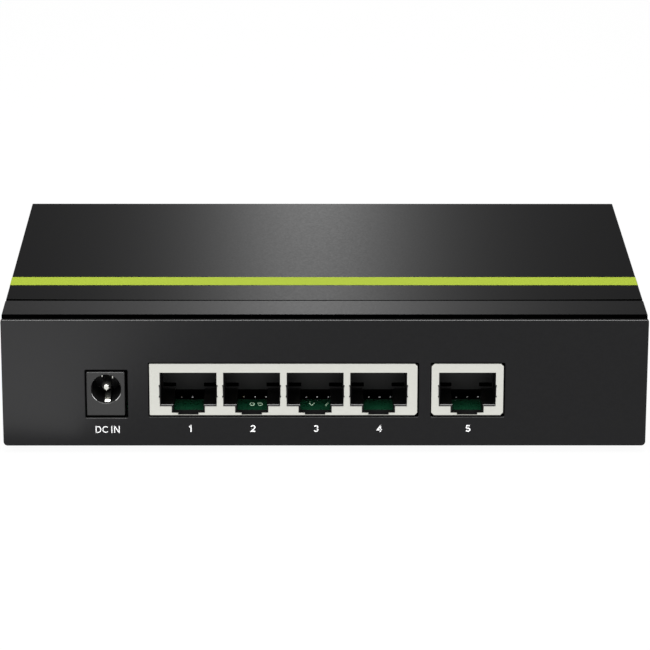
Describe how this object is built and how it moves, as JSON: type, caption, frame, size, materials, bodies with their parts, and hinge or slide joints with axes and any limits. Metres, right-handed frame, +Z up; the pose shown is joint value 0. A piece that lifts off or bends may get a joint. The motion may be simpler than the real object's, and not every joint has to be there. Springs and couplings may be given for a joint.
{
  "type": "desktop network switch",
  "caption": "Low rectangular desktop network switch: black steel case with shielded modular ports and a barrel power inlet in one face, indicator lamps in the other, and rubber feet.",
  "frame": {"origin": "middle of the overall box on the surface that the feet stand on", "axes": "+Z up; +X along the row of ports, from the power inlet towards the last port; -Y out of the port face and +Y out of the lamp face"},
  "size_m": [0.142, 0.094, 0.0309],
  "materials": {
    "black_paint": "satin black powder coat with a green printed stripe on the cover",
    "black_bezel": "fine-grained black",
    "zinc_steel": "zinc-plated posts and screws",
    "nickel_shield": "bright nickel-plated sheet",
    "jack_plastic": "black moulded nylon",
    "gold_contact": "gold-plated spring bronze",
    "board_green": "glass-epoxy board with green solder mask",
    "chip_black": "moulded epoxy",
    "heatsink_aluminium": "extruded",
    "can_silver": "drawn can",
    "clear_pipe": "clear acrylic light guide",
    "led_body": "white lamp body",
    "black_screw": "black oxide",
    "black_rubber": "matt"
  },
  "bodies": {
    "case": {"base_pan": "black_paint", "rear_panel": "black_paint", "rear_band": "black_paint", "top_cover": "black_paint", "front_panel": "black_bezel", "foot_1": "black_rubber", "foot_2": "black_rubber", "foot_3": "black_rubber", "foot_4": "black_rubber", "port_gang_shield": "nickel_shield", "port_gang_housing": "jack_plastic", "port_single_shield": "nickel_shield", "port_single_housing": "jack_plastic", "dc_jack_body": "jack_plastic", "dc_jack_pin": "nickel_shield", "main_board": "board_green", "transformer_1": "chip_black", "transformer_2": "chip_black", "transformer_3": "chip_black", "transformer_4": "chip_black", "transformer_5": "chip_black", "switch_chip": "chip_black", "heatsink": "heatsink_aluminium", "memory_chip": "chip_black", "regulator_chip": "chip_black", "crystal": "can_silver", "inductor_1": "chip_black", "inductor_2": "chip_black", "capacitor_1": "can_silver", "capacitor_2": "can_silver", "capacitor_3": "can_silver", "led_1": "led_body", "led_2": "led_body", "led_3": "led_body", "led_4": "led_body", "led_5": "led_body", "led_6": "led_body", "light_pipe": "clear_pipe", "standoff_1": "zinc_steel", "standoff_2": "zinc_steel", "standoff_3": "zinc_steel", "standoff_4": "zinc_steel", "board_screw_1": "zinc_steel", "board_screw_2": "zinc_steel", "board_screw_3": "zinc_steel", "board_screw_4": "zinc_steel", "case_screw_1": "black_screw", "case_screw_2": "black_screw", "case_screw_3": "black_screw", "case_screw_4": "black_screw"},
    "port_1_contacts": {"contact_set_1": "gold_contact"},
    "port_2_contacts": {"contact_set_2": "gold_contact"},
    "port_3_contacts": {"contact_set_3": "gold_contact"},
    "port_4_contacts": {"contact_set_4": "gold_contact"},
    "port_5_contacts": {"contact_set_5": "gold_contact"},
    "dc_sleeve_contact": {"dc_jack_spring": "nickel_shield"}
  },
  "joints": [
    {"name": "port_1_contacts_bend", "type": "hinge", "parent": "case", "child": "port_1_contacts", "pos_m": [-0.03, -0.04455, 0.0187], "axis": [1, 0, 0], "range_deg": [0, 12], "stiffness_Nm_per_rad": 0.2},
    {"name": "port_2_contacts_bend", "type": "hinge", "parent": "case", "child": "port_2_contacts", "pos_m": [-0.01603, -0.04455, 0.0187], "axis": [1, 0, 0], "range_deg": [0, 12], "stiffness_Nm_per_rad": 0.2},
    {"name": "port_3_contacts_bend", "type": "hinge", "parent": "case", "child": "port_3_contacts", "pos_m": [-0.00206, -0.04455, 0.0187], "axis": [1, 0, 0], "range_deg": [0, 12], "stiffness_Nm_per_rad": 0.2},
    {"name": "port_4_contacts_bend", "type": "hinge", "parent": "case", "child": "port_4_contacts", "pos_m": [0.01191, -0.04455, 0.0187], "axis": [1, 0, 0], "range_deg": [0, 12], "stiffness_Nm_per_rad": 0.2},
    {"name": "port_5_contacts_bend", "type": "hinge", "parent": "case", "child": "port_5_contacts", "pos_m": [0.0315, -0.04455, 0.0187], "axis": [1, 0, 0], "range_deg": [0, 12], "stiffness_Nm_per_rad": 0.2},
    {"name": "dc_sleeve_contact_bend", "type": "hinge", "parent": "case", "child": "dc_sleeve_contact", "pos_m": [-0.04813, -0.03425, 0.0107], "axis": [1, 0, 0], "range_deg": [0, 4.5], "stiffness_Nm_per_rad": 0.2}
  ]
}
